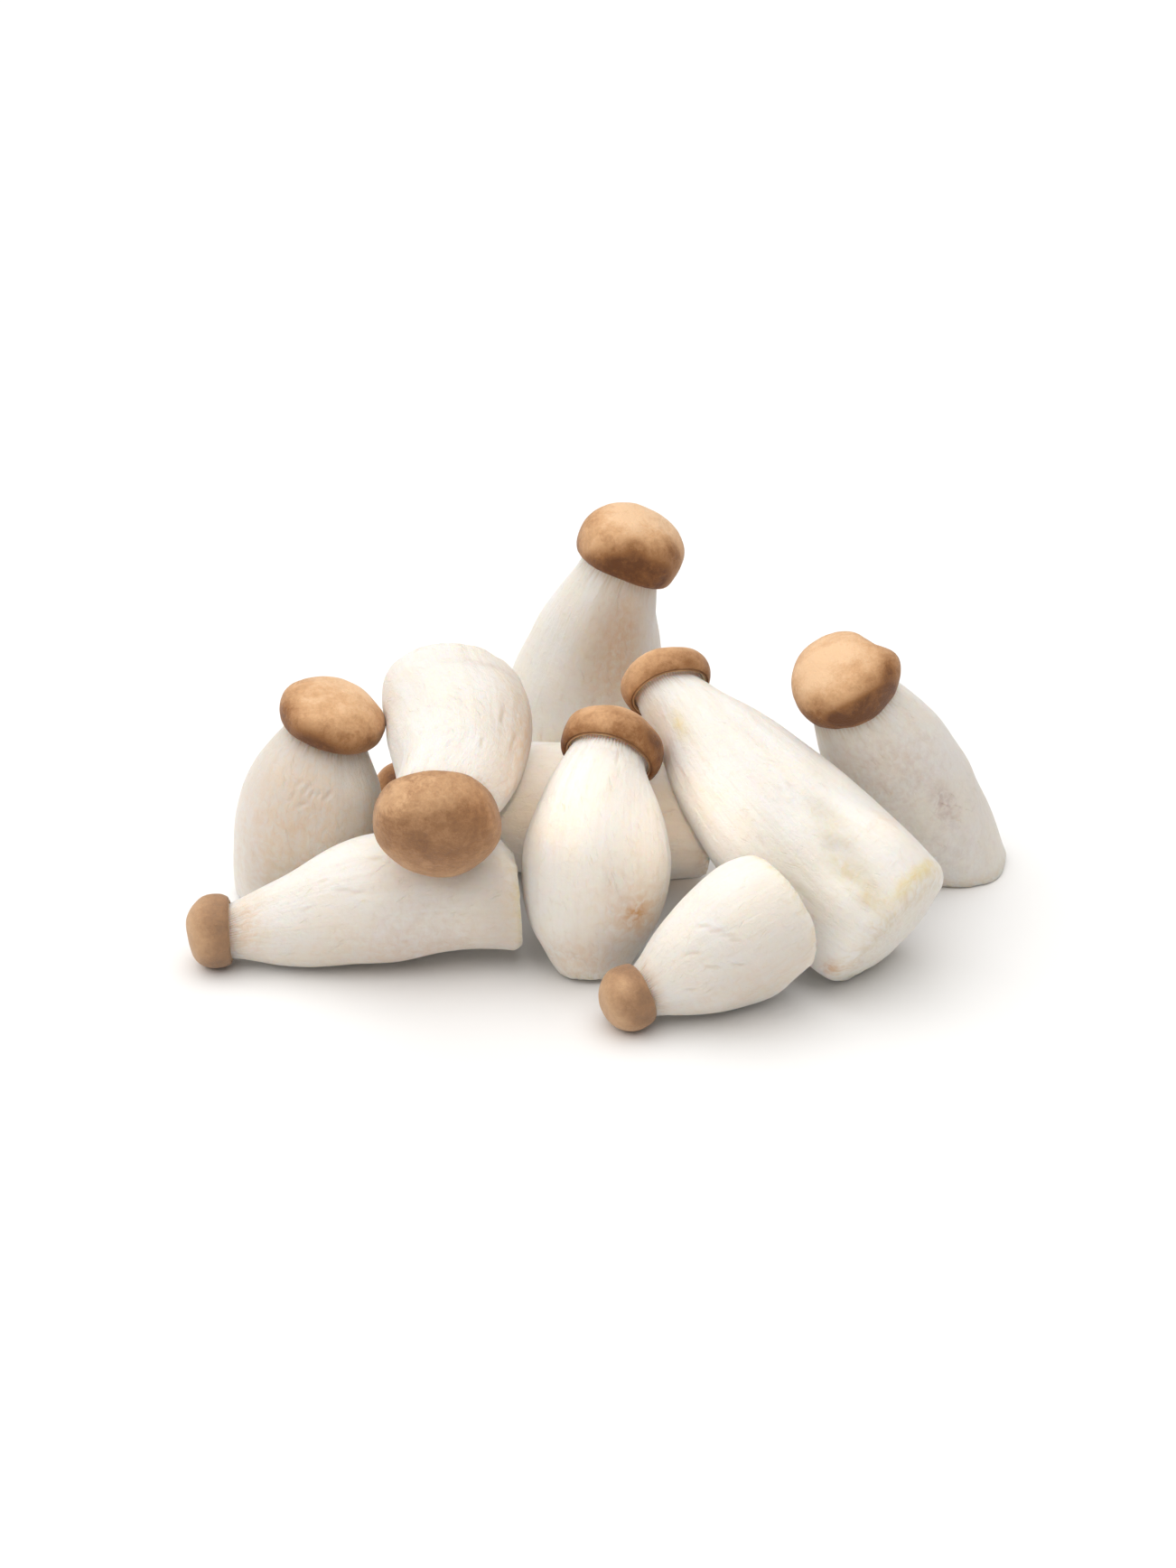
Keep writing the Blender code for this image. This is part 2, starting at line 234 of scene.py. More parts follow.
NICKS = {
    "left_standing": (Nick(-10, 0.795, 4, 1.4, 35), Nick(-2, 0.775, 5, 1.5, 30), Nick(4, 0.76, 3, 1.2, 30),
                      Nick(10, 0.765, 3, 1.3, 40), Nick(20, 0.77, 5, 1.5, 40, 0.7),
                      Nick(-3, 0.71, 5, 1.4, 60), Nick(-13, 0.73, 4, 1.2, 20)),
    "left_lying": (Nick(15, 0.6, 6, 1.4, 8, 0.5), Nick(28, 0.66, 4, 1.2, -8), Nick(39, 0.48, 5, 1.4, 5),
                   Nick(3, 0.73, 5, 1.2, -12), Nick(-42, 0.41, 6, 1.4, 0, 0.4), Nick(10, 0.55, 5, 1.2, 4)),
    "crossing": (Nick(-38, 0.52, 7, 1.6, 10, 0.5), Nick(-54, 0.59, 9, 1.6, 8, 0.4),
                 Nick(-20, 0.75, 5, 1.3, -12), Nick(10, 0.8, 4, 1.2, 15)),
    "back_standing": (Nick(10, 0.62, 8, 1.8, 10, 0.4), Nick(-25, 0.45, 7, 1.6, -6, 0.4)),
    "front_leaning": (Nick(8, 0.89, 5, 1.3, 4, 0.4), Nick(12, 0.42, 8, 1.4, -25, 0.3),
                      Nick(22, 0.37, 9, 1.5, -30, 0.35), Nick(30, 0.33, 8, 1.5, -25, 0.4)),
    "front_lying": (Nick(18, 0.47, 6, 1.4, 30, 0.45), Nick(9, 0.42, 6, 1.4, 30, 0.45),
                    Nick(3, 0.4, 4, 1.2, 25), Nick(28, 0.52, 5, 1.2, 35), Nick(-10, 0.6, 5, 1.3, 30),
                    Nick(-25, 0.78, 4, 1.3, 20), Nick(12, 0.66, 5, 1.2, 25), Nick(-18, 0.45, 5, 1.2, 30)),
    "right_leaning": (Nick(22, 0.45, 5, 1.4, 12, 0.4), Nick(14, 0.47, 4, 1.2, -10, 0.3),
                      Nick(-22, 0.39, 5, 1.3, 15), Nick(-43, 0.72, 4, 1.4, 0, 0.4),
                      Nick(34, 0.6, 5, 1.2, 8, 0.3)),
    "right_standing": (Nick(14, 0.52, 5, 2.4, 20, 0.5), Nick(16, 0.43, 4, 1.8, -15, 0.5),
                       Nick(-20, 0.7, 6, 1.4, 50), Nick(5, 0.67, 5, 1.4, 60, 0.4)),
}


@dataclass
class Rough:
    """Random relief: blobs of size mm that stand up to height mm out or in. longer is how much they are drawn
    out along the stem, and shift keeps one relief from repeating another."""

    size: float
    height: float
    longer: float = 1.0
    shift: float = 0.0


STEM_SWELLINGS = (Rough(17, 0.6, longer=1.6), Rough(8, 0.3, longer=1.4))
STEM_FIBRES = (Rough(4.2, 0.14, longer=9), Rough(1.9, 0.07, longer=9, shift=50))
FACE_CRUMB = (Rough(6, 0.25), Rough(2.4, 0.22, shift=30))
TORN_RIM = (Rough(3.5, 0.35, shift=70),)
CAP_DIMPLES = (Rough(9, 0.45), Rough(4, 0.14, shift=20), Rough(1.6, 0.04))
# The stem's relief is sunk this much, in mm, so that mushrooms that touch stay clear of each other.
STEM_SUNK = 0.3
# The crumb is full from this share of the cut's radius on, and the torn rim fades out over this many mm.
CRUMB_FROM = 0.5
TORN_REACH = 3.0
# Noise is taken this many mm further on for each mushroom, so that no two look alike.
GRAIN_APART = 100.0
SKIN_APART = 40.0

# Marks on the flesh and the skin, with painted light and shade among them


@dataclass
class StainAndShade:
    """A coloured patch on a stem, fading from its middle. Most are stains of the flesh; the grey-beige ones
    and some tan ones are painted shade. Degrees round, shares of the length, and a strength of 0 to 1."""

    kind: str
    angle: float
    along: float
    angle_spread: float
    along_spread: float
    strength: float = 1.0


# Most patches are the flesh's own browning, ochre, rust and bruises. The grey-beige ones are painted shade on
# sides turned from the light, and the tan ones on the right sides of left_standing, crossing and
# back_standing are warm painted shade.
STAINS_AND_SHADE = {
    "left_standing": (StainAndShade("tan", 0, 0.6, 70, 0.5, 0.75), StainAndShade("tan", 70, 0.5, 40, 0.5, 0.8),
                      StainAndShade("painted_shade", -10, 0.8, 110, 0.3, 0.85)),
    "left_lying": (StainAndShade("tan", 0, 0.95, 90, 0.07, 0.8), StainAndShade("tan", -70, 0.4, 50, 0.5, 0.6),
                   StainAndShade("tan", 0, 0.03, 60, 0.05, 0.5), StainAndShade("ochre", 2, 0.0, 30, 0.012, 1.0),
                   StainAndShade("bruise", -60, 0.35, 60, 0.2, 0.3), StainAndShade("painted_shade", -30, 0.04, 60, 0.14, 0.8),
                   StainAndShade("painted_shade", -70, 0.5, 45, 0.45, 0.6)),
    "crossing": (StainAndShade("tan", -75, 0.5, 36, 0.35, 1.0), StainAndShade("painted_shade", -70, 0.5, 40, 0.3, 0.4),
                 StainAndShade("bruise", -40, 0.2, 40, 0.03, 0.5), StainAndShade("tan", 0, 0.98, 180, 0.05, 0.5)),
    "back_standing": (StainAndShade("tan", 25, 0.8, 25, 0.2, 0.9), StainAndShade("tan", 70, 0.4, 40, 0.4, 0.4),
                      StainAndShade("tan", 0, 0.03, 180, 0.05, 0.6), StainAndShade("painted_shade", 80, 0.7, 36, 0.3, 0.5)),
    "back_lying": (StainAndShade("bruise", 0, 0.02, 180, 0.03, 0.5), StainAndShade("tan", 0, 0.98, 180, 0.05, 0.4)),
    "front_leaning": (StainAndShade("rust", 38, 0.3, 10, 0.05, 1.0), StainAndShade("tan", 45, 0.3, 40, 0.16, 0.9),
                      StainAndShade("tan", -20, 0.1, 80, 0.12, 0.7), StainAndShade("bruise", 10, 0.92, 50, 0.04, 0.4)),
    "front_lying": (StainAndShade("ochre", 60, 0.03, 40, 0.03, 0.5), StainAndShade("tan", -70, 0.4, 45, 0.5, 0.5),
                    StainAndShade("tan", 0, 0.97, 180, 0.05, 0.5), StainAndShade("painted_shade", -40, 0.4, 60, 0.5, 0.55)),
    "right_leaning": (StainAndShade("ochre", -20, 0.83, 9, 0.05, 0.8), StainAndShade("ochre", 24, 0.3, 12, 0.08, 0.4),
                      StainAndShade("ochre", 42, 0.03, 36, 0.022, 1.0), StainAndShade("ochre", 10, 0.18, 8, 0.07, 0.6),
                      StainAndShade("ochre", 6, 0.08, 8, 0.05, 0.6), StainAndShade("rust", -70, 0.03, 12, 0.03, 0.8),
                      StainAndShade("bruise", -43, 0.74, 10, 0.08, 0.5), StainAndShade("tan", 60, 0.2, 20, 0.06, 0.5)),
    "right_standing": (StainAndShade("bruise", 14, 0.5, 14, 0.13, 1.0), StainAndShade("bruise", 0, 0.75, 60, 0.2, 0.4),
                       StainAndShade("bruise", -10, 0.25, 80, 0.3, 0.35), StainAndShade("tan", 30, 0.03, 90, 0.04, 0.6),
                       StainAndShade("painted_shade", 60, 0.4, 50, 0.4, 0.5), StainAndShade("tan", -30, 0.8, 60, 0.25, 0.3)),
}


@dataclass
class Tone:
    """A paler (above 0) or darker (below 0) part of a cap. Degrees round and from the crown. A sharp one has
    a ragged edge, and the others fade out."""

    angle: float
    tilt: float
    spread: float
    amount: float
    sharp: bool = False


# The caps' paler and darker parts: partly the skins' own tones, partly painted light and shade, with pale
# parts where a cap faces the light and dark bands low on the sides turned from it, as on crossing's pale
# upper edge and back_standing's dark lower band.
TONES = {
    "left_standing": (Tone(150, 20, 22, 0.6), Tone(-35, 45, 25, 0.4), Tone(0, 118, 34, -1.0, True),
                      Tone(-58, 83, 18, -0.5), Tone(57, 83, 16, -0.3), Tone(-50, 30, 7, -0.6, True),
                      Tone(-45, 15, 6, -0.5, True), Tone(157, 12, 6, -0.5, True)),
    "left_lying": (Tone(40, 60, 40, -0.1), Tone(-75, 80, 30, -0.7), Tone(0, 84, 20, 0.2),
                   Tone(20, 100, 30, -0.3)),
    "crossing": (Tone(0, 0, 48, -1.9), Tone(0, 100, 45, 1.2), Tone(46, 84, 22, 1.1, True),
                 Tone(14, 98, 18, 0.7, True), Tone(54, 46, 26, -0.8), Tone(-42, 48, 34, -1.2),
                 Tone(-85, 70, 24, 0.4), Tone(-165, 14, 14, 0.4)),
    "back_standing": (Tone(-23, 42, 34, 0.9), Tone(150, 30, 50, 1.0), Tone(-35, 28, 10, -0.5, True),
                      Tone(14, 113, 30, -1.6, True), Tone(-24, 120, 22, -1.3, True),
                      Tone(38, 100, 22, -1.3, True), Tone(-47, 95, 24, 1.7), Tone(8, 66, 13, -0.9, True),
                      Tone(53, 61, 17, -1.3)),
    "back_lying": (Tone(0, 90, 90, -0.8),),
    "front_leaning": (Tone(-25, 95, 34, 0.9), Tone(48, 84, 22, -0.9, True), Tone(-70, 90, 26, 0.5),
                      Tone(100, 90, 40, -0.5)),
    "front_lying": (Tone(33, 84, 17, 1.0), Tone(0, 70, 60, -0.45), Tone(-120, 70, 26, -0.5, True)),
    "right_leaning": (Tone(0, 95, 50, 0.8), Tone(-50, 112, 34, 1.1), Tone(90, 100, 30, 0.4),
                      Tone(40, 110, 14, -0.5, True)),
    "right_standing": (Tone(-60, 25, 38, 1.1), Tone(100, 20, 26, 0.5), Tone(6, 90, 19, -1.6, True),
                       Tone(-23, 95, 18, -1.7, True), Tone(28, 104, 20, -1.4, True),
                       Tone(-90, 85, 12, -0.4, True), Tone(45, 73, 17, -1.5)),
}

# How blotchy most caps are, and those that differ.
MOTTLED_MOST = 0.4
MOTTLED = {"crossing": 0.3, "front_lying": 0.35, "left_lying": 0.3}
# How much greyer than the others a cap is.
DUSTY = {"left_lying": 0.4, "front_lying": 0.36, "crossing": 0.14}

# The lip's pale edge, and the painted shade in the groove round it: middle and spread, as shares of the cap's
# radius.
LIP_EDGE = (0.812, 0.016)
GROOVE_SHADE = (0.843, 0.013)
# The cut's darker rim: middle and spread up the stem in mm, how much of that falloff counts on the face, and
# the share of the face's radius where it begins.
RIM = (1.0, 2.2)
RIM_ON_FACE = 0.2
RIM_FROM = 0.7
# The small scars on the stems lean this much off the stem's own line, as a slope.
OBLIQUE = 0.45

# Curves and falloffs


def smoothstep(share):
    share = np.clip(share, 0.0, 1.0)
    return share * share * (3 - 2 * share)


def band(value, middle, spread):
    """1 where the value is in the middle of a band, fading to 0 on both sides."""
    return np.exp(-(((value - middle) / spread) ** 2))


def unit(vectors):
    return vectors / np.linalg.norm(vectors, axis=-1, keepdims=True)


def steps(count, end=1.0, start=0.0):
    """Even steps from start to end, without start."""
    return np.linspace(start, end, count + 1)[1:]


def even_steps(values, t):
    """The values at t, 0 to 1, of a smooth (Catmull-Rom) curve through values at even steps."""
    values = np.array(values, float)
    longer = np.concatenate(([2 * values[0] - values[1]], values, [2 * values[-1] - values[-2]]))
    place = np.clip(t, 0.0, 1.0) * (len(values) - 1)
    i = np.minimum(np.floor(place).astype(int), len(values) - 2)
    u = place - i
    before, start, end, after = (longer[i + k] for k in range(4))
    slope_in, slope_out = (end - before) / 2, (after - start) / 2
    return (
        (2 * u**3 - 3 * u**2 + 1) * start
        + (u**3 - 2 * u**2 + u) * slope_in
        + (3 * u**2 - 2 * u**3) * end
        + (u**3 - u**2) * slope_out
    )


# Random values between -1 and 1 at the corners of a grid, seeded and the same each run. The grid repeats.
LATTICE_SIDE = 48
LATTICE = np.random.default_rng(5).uniform(-1, 1, (LATTICE_SIDE,) * 3)


def noise(points, size):
    """Smooth random values between -1 and 1 at points, in blobs of about size."""
    cell = points / size
    low = np.floor(cell).astype(int)
    share = smoothstep(cell - low)
    total = 0.0
    for corner in itertools.product((0, 1), repeat=3):
        weight = np.prod(np.where(corner, share, 1 - share), axis=-1)
        x, y, z = np.moveaxis((low + corner) % LATTICE_SIDE, -1, 0)
        total = total + weight * LATTICE[x, y, z]
    return total


def rough_height(place, layers):
    """The height of layers of random relief at a place, both in mm."""
    height = 0.0
    for layer in layers:
        drawn_out = place * (1, 1, 1 / layer.longer) + layer.shift
        height = height + noise(drawn_out, layer.size) * layer.height
    return height


# Shapes shared with the solids


def centreline(m, t):
    """The points at t, and the unit directions towards the cap, on the parabola through foot, middle and
    neck."""
    t = t[:, None]
    foot, middle, neck = (np.array(point) * MM for point in (m.foot, m.middle, m.neck))
    point = foot * (1 - t) * (1 - 2 * t) + middle * 4 * t * (1 - t) + neck * t * (2 * t - 1)
    slope = foot * (4 * t - 3) + middle * (4 - 8 * t) + neck * (4 * t - 1)
    return point, unit(slope)


def cap_axis(m):
    """The cap's unit direction and its height, from the neck to the crown."""
    rise = (np.array(m.crown) - np.array(m.neck)) * MM
    return unit(rise), np.linalg.norm(rise)


def section(m, t):
    """Centres, unit normals and radii of the stem's sections at t. They turn from the cut to the cap."""
    point, direction = centreline(m, t)
    inward = -unit(np.array(m.cut)) if m.cut else centreline(m, np.zeros(1))[1][0]
    share = smoothstep(t / FOOT_BLEND)[:, None]
    normal = unit(inward * (1 - share) + direction * share)
    share = smoothstep((t - 1 + NECK_BLEND) / NECK_BLEND)[:, None]
    normal = unit(normal * (1 - share) + cap_axis(m)[0] * share)
    return point, normal, even_steps(m.stem, t) * MM


def spokes(normal):
    """Unit vectors from the middle of each ring to its corners."""
    across = unit(VIEWER - normal * (normal @ VIEWER)[:, None])
    beside = np.cross(normal, across)
    cos, sin = np.cos(ANGLES)[:, None], np.sin(ANGLES)[:, None]
    return across[:, None] * cos + beside[:, None] * sin


def out_of_round(m, t):
    """The share of its radius that a section has at each corner: 1, give or take a few hundredths.

    Here and in the next functions t is a column, with a row for each ring, and the result has a column for
    each corner."""
    phases = random.Random(m.seed)
    share = 1.0
    for count, size, drift in WAVES:
        share = share + size * np.cos(count * ANGLES + phases.uniform(0, math.tau) + math.tau * drift * t)
    return share


def apart(degrees):
    """How far each corner of a ring is from an angle, between half a turn either way, in degrees."""
    return (np.degrees(ANGLES) - degrees + 180) % 360 - 180


def patch(t, spot):
    """1 in the middle of a stem's lobe or stain, fading to 0 round it."""
    turn = apart(spot.angle) / spot.angle_spread
    shift = (t - spot.along) / spot.along_spread
    return np.exp(-(turn**2) - shift**2)


def lobe_height(m, t):
    """How far the lobes lift the stem, in metres."""
    height = 0.0
    for lobe in m.lobes + FINE_LOBES.get(m.name, ()):
        height = height + lobe.height * MM * patch(t, lobe)
    return height


def tilts(m, points):
    """How far points of the cap lie from the crown, in radians, and their ways out from the cap's heart."""
    axis, height = cap_axis(m)
    level = height * WIDEST_AT
    offset = points - (np.array(m.neck) * MM + axis * level)
    up = offset @ axis
    sideways = np.linalg.norm(offset - up[..., None] * axis, axis=-1)
    return np.arctan2(sideways / (m.cap * MM), up / (height - level)), unit(offset)


def nearness(tilt, spot):
    """1 in the middle of a cap's lump or tone, fading to 0 round it."""
    there = math.radians(spot.tilt)
    turn = np.cos(np.radians(apart(spot.angle)))
    cosine = np.cos(tilt) * math.cos(there) + np.sin(tilt) * math.sin(there) * turn
    return band(np.degrees(np.arccos(np.clip(cosine, -1, 1))), 0.0, spot.spread)


def lump_height(m, tilt):
    """How far the lumps lift the cap, in metres."""
    height = np.zeros(SIDES)
    for lump in m.lumps + FINE_LUMPS.get(m.name, ()):
        height = height + lump.height * MM * nearness(tilt, lump)
    return height


# One mushroom as a grid of rings

FOOT_FACE, FOOT_EDGE, STEM, GROOVE, CAP = range(5)


class Rings:
    """The rings of one mushroom from the foot's middle to the crown, gathered part by part. taper is the
    share of the lobes' height that a ring takes."""

    def __init__(self):
        self.parts = []

    def add(self, zone, centre, normal, radius, t, taper=1.0):
        count = len(radius)
        self.parts.append(
            {
                "zone": np.full(count, zone),
                "centre": np.broadcast_to(centre, (count, 3)),
                "normal": np.broadcast_to(normal, (count, 3)),
                "radius": radius,
                "t": np.broadcast_to(t, (count,)),
                "taper": np.broadcast_to(taper, (count,)),
            }
        )

    def joined(self):
        return {key: np.concatenate([part[key] for part in self.parts]) for key in self.parts[0]}


def rings_of(m):
    """The rings of one mushroom, zone by zone. The corners at its two ends come later."""
    rings = Rings()
    centre, inward, radius = (part[0] for part in section(m, np.zeros(1)))
    share = steps(FACE_RINGS)
    bulge = inward * m.bulge * MM * (1 - share[:, None] ** BULGE_POWER)
    rings.add(FOOT_FACE, centre - bulge, inward, radius * m.rim * share, 0.0, share)

    turn = steps(EDGE_RINGS, QUARTER_TURN)
    t = EDGE_ENDS * (1 - np.cos(turn))
    centre, normal, radius = section(m, t)
    rings.add(FOOT_EDGE, centre, normal, radius * (m.rim + (1 - m.rim) * np.sin(turn)), t)

    t = steps(STEM_RINGS, start=EDGE_ENDS)
    rings.add(STEM, *section(m, t), t)

    axis, height = cap_axis(m)
    neck, widest = np.array(m.neck) * MM, m.cap * MM
    level = height * WIDEST_AT

    def cap_part(zone, radius, up):
        rings.add(zone, neck + axis * up[:, None], axis, radius, 1.0, np.minimum(radius / widest, 1))

    radii, ups = zip(*LIP)
    stem_top, inner_edge = m.stem[-1] * MM, radii[0] * widest
    share = steps(GROOVE_RINGS)
    cap_part(
        GROOVE,
        even_steps((stem_top, (stem_top + inner_edge) / 2, inner_edge), share),
        even_steps((0, GROOVE_DEPTH, ups[0] * MM), share),
    )
    share = steps(LIP_RINGS)
    cap_part(CAP, even_steps(radii, share) * widest, even_steps(ups, share) * MM)
    turn = steps(ROLL_RINGS, QUARTER_TURN)
    cap_part(CAP, widest * (1 - ROLL_IN * (1 - np.sin(turn))), level * (1 - np.cos(turn)))
    turn = steps(DOME_RINGS + 1, QUARTER_TURN)[:-1]
    cap_part(
        CAP,
        widest * np.cos(turn) ** (2 / DOME_POWER),
        level + (height - level) * np.sin(turn) ** (2 / DOME_POWER),
    )
    return rings.joined()


def distance_along(rings):
    """How far each ring is from the foot along the rings' middles, in mm, as a column."""
    between = np.linalg.norm(np.diff(rings["centre"], axis=0), axis=1)
    along = np.concatenate(([0.0], np.cumsum(between))) / MM
    foot = along[rings["zone"] == FOOT_FACE][-1]
    return np.maximum(along - foot, 0.0)[:, None]


def pillar(angle, radius, height):
    """Points on a straight round pillar."""
    return np.stack(np.broadcast_arrays(np.cos(angle) * radius, np.sin(angle) * radius, height), axis=-1)


def outwards(points):
    """The unit normals of a grid of rings."""
    around = np.roll(points, -1, axis=1) - np.roll(points, 1, axis=1)
    onwards = np.gradient(points, axis=0)
    return unit(np.cross(around, onwards))


def nick_depth(m, t, length):
    """How deep the nicks cut into a stem of this length, in mm, and how much each corner lies in one."""
    depth = np.zeros((len(t), SIDES))
    inside = np.zeros((len(t), SIDES))
    radius = even_steps(m.stem, t)
    for nick in NICKS.get(m.name, ()):
        beside = np.radians(apart(nick.angle)) * radius
        along = (t - nick.along) * length
        lean = math.radians(nick.lean)
        lengthways = (along * math.cos(lean) + beside * math.sin(lean)) / (nick.length / 2)
        crossways = (beside * math.cos(lean) - along * math.sin(lean)) / (nick.width / 2)
        hit = np.exp(-(lengthways**4) - crossways**2)
        flap = np.exp(-(lengthways**4) - (crossways - FLAP_AT) ** 2)
        depth += (hit - FLAP_HEIGHT * flap) * nick.depth
        inside = np.maximum(inside, hit)
    return depth, inside


def stains_and_shade_of(m, t, zone):
    """How strong each kind of stain and of painted shade is. They stop at the gills."""
    stains_and_shade = {kind: np.zeros((len(t), SIDES)) for kind in STAIN_AND_SHADE_PAINTS}
    for stain_and_shade in STAINS_AND_SHADE[m.name]:
        here = stain_and_shade.strength * patch(t, stain_and_shade) * (zone < GROOVE)
        stains_and_shade[stain_and_shade.kind] = np.maximum(stains_and_shade[stain_and_shade.kind], here)
    return stains_and_shade


def tones_of(m, tilt):
    """How pale or dark the cap is, and how much each corner lies in its sharp pale and dark parts."""
    tones = {"tone": 0.0, "pale": 0.0, "dark": 0.0}
    for tone in TONES[m.name]:
        here = tone.amount * nearness(tilt, tone)
        if not tone.sharp:
            tones["tone"] = tones["tone"] + here
        elif tone.amount > 0:
            tones["pale"] = tones["pale"] + here
        else:
            tones["dark"] = tones["dark"] - here
    return tones


def build(m, materials):
    rings = rings_of(m)
    zone, t, radius, taper = (rings[name][:, None] for name in ("zone", "t", "radius", "taper"))
    on_face, on_cap = zone == FOOT_FACE, zone == CAP
    on_stem = (zone == FOOT_EDGE) | (zone == STEM)

    reach = radius * out_of_round(m, t) + lobe_height(m, t) * taper
    points = rings["centre"][:, None] + spokes(rings["normal"]) * reach[..., None]
    tilt, away = tilts(m, points)
    points = points + away * (lump_height(m, tilt) * on_cap)[..., None]

    # Straightened places, in mm: fibres and blotches follow the stem in them, and meet with no seam.
    along = distance_along(rings)
    foot_share = np.where(on_face, taper, 1.0)
    girth = np.mean(m.stem)
    height = along + GRAIN_APART * m.seed
    grain = pillar(ANGLES, girth * foot_share, height)
    oblique = pillar(ANGLES + along * OBLIQUE / girth, girth, height)
    skin_place = (points - np.array(m.neck) * MM) / MM + SKIN_APART * m.seed

    # Relief along the surface's normal.
    nicks, scarred = nick_depth(m, t, length=along[zone == STEM][-1])
    relief = (rough_height(grain, STEM_SWELLINGS + STEM_FIBRES) - STEM_SUNK - nicks) * on_stem
    relief += rough_height(grain, FACE_CRUMB) * on_face * smoothstep(foot_share / CRUMB_FROM)
    relief += rough_height(grain, TORN_RIM) * on_stem * band(along, 0.0, TORN_REACH)
    relief += rough_height(skin_place, CAP_DIMPLES) * on_cap
    starts = np.random.default_rng(m.seed).uniform(*GILLS_START, GILLS).repeat(SIDES // GILLS)
    grown = smoothstep((t - starts) / (1 - starts)) * (zone < CAP)
    ridge = np.cos(GILLS * ANGLES) * grown
    points = points + outwards(points) * (relief * MM + ridge * GILL_HEIGHT)[..., None]

    # The corners at the two ends. At the crown the lumps' height is the same at every angle.
    foot = points[0].mean(axis=0)
    crown = np.array(m.crown) * MM
    crown_tilt, crown_away = tilts(m, crown)
    crown = crown + crown_away * lump_height(m, crown_tilt)[0]

    under_cap = on_cap * (tilt > QUARTER_TURN)
    cap_share = radius / (m.cap * MM)
    cut_rim = band(along, *RIM) ** np.where(on_face, RIM_ON_FACE, 1.0)
    fields = {
        "grain": grain,
        "oblique": oblique,
        "skin_place": skin_place,
        **stains_and_shade_of(m, t, zone),
        **tones_of(m, tilt),
        "dusty": DUSTY.get(m.name, 0.0),
        "mottled": MOTTLED.get(m.name, MOTTLED_MOST),
        "scar": scarred,
        "cut_face": on_face,
        "cut_rim": cut_rim * smoothstep((foot_share - RIM_FROM) / (1 - RIM_FROM)),
        "gill": grown,
        "gill_ridge": ridge,
        "crown_share": tilt / QUARTER_TURN,
        "lip": band(cap_share, *LIP_EDGE) * under_cap,
        # Painted shade in the groove beside the lip.
        "groove_shade": band(cap_share, *GROOVE_SHADE) * under_cap,
    }
    return mesh_of("mushroom_" + m.name, points, foot, crown, on_cap, fields, materials)


def add_object(name, data):
    obj = bpy.data.objects.new(name, data)
    bpy.context.scene.collection.objects.link(obj)
    return obj


def keep_field(mesh, name, field, grid):
    """Stores a field on the mesh's corners: numbers, or vectors in a third axis. The two corners at the ends
    take the mean of the ring beside them."""
    is_vector = np.ndim(field) == 3
    if not is_vector:
        field = np.broadcast_to(field, grid).astype(float)
    ends = np.stack((field[0].mean(axis=0), field[-1].mean(axis=0)))
    values = np.concatenate((field.reshape(-1, *field.shape[2:]), ends)).ravel()
    kind, part = ("FLOAT_VECTOR", "vector") if is_vector else ("FLOAT", "value")
    mesh.attributes.new(name, kind, "POINT").data.foreach_set(part, values)


def mesh_of(name, points, foot, crown, on_cap, fields, materials):
    """Turns the grid of rings, with a corner at either end, into a closed mesh that holds the fields."""
    corners = np.concatenate((points.reshape(-1, 3), [foot, crown]))
    corners[:, 2] = np.maximum(corners[:, 2], 0.0)
    foot_corner, crown_corner = len(corners) - 2, len(corners) - 1
    top = foot_corner - SIDES
    here = np.arange(SIDES)
    there = (here + 1) % SIDES
    around = np.stack((here, there, there + SIDES, here + SIDES), axis=-1)
    faces = []
    for row in range(len(points) - 1):
        faces += (around + row * SIDES).tolist()
    pairs = list(zip(here.tolist(), there.tolist()))
    faces += [(foot_corner, b, a) for a, b in pairs]
    faces += [(top + a, top + b, crown_corner) for a, b in pairs]
    has_skin = np.append(on_cap[:-1], (False, True)).repeat(SIDES)

    mesh = bpy.data.meshes.new(name)
    mesh.from_pydata(corners.tolist(), [], faces)
    mesh.polygons.foreach_set("material_index", has_skin.astype(int).tolist())
    for field_name, field in fields.items():
        keep_field(mesh, field_name, field, points.shape[:2])
    for material in materials:
        mesh.materials.append(material)
    mesh.shade_smooth()
    mesh.update()
    return add_object(name, mesh)


# Materials


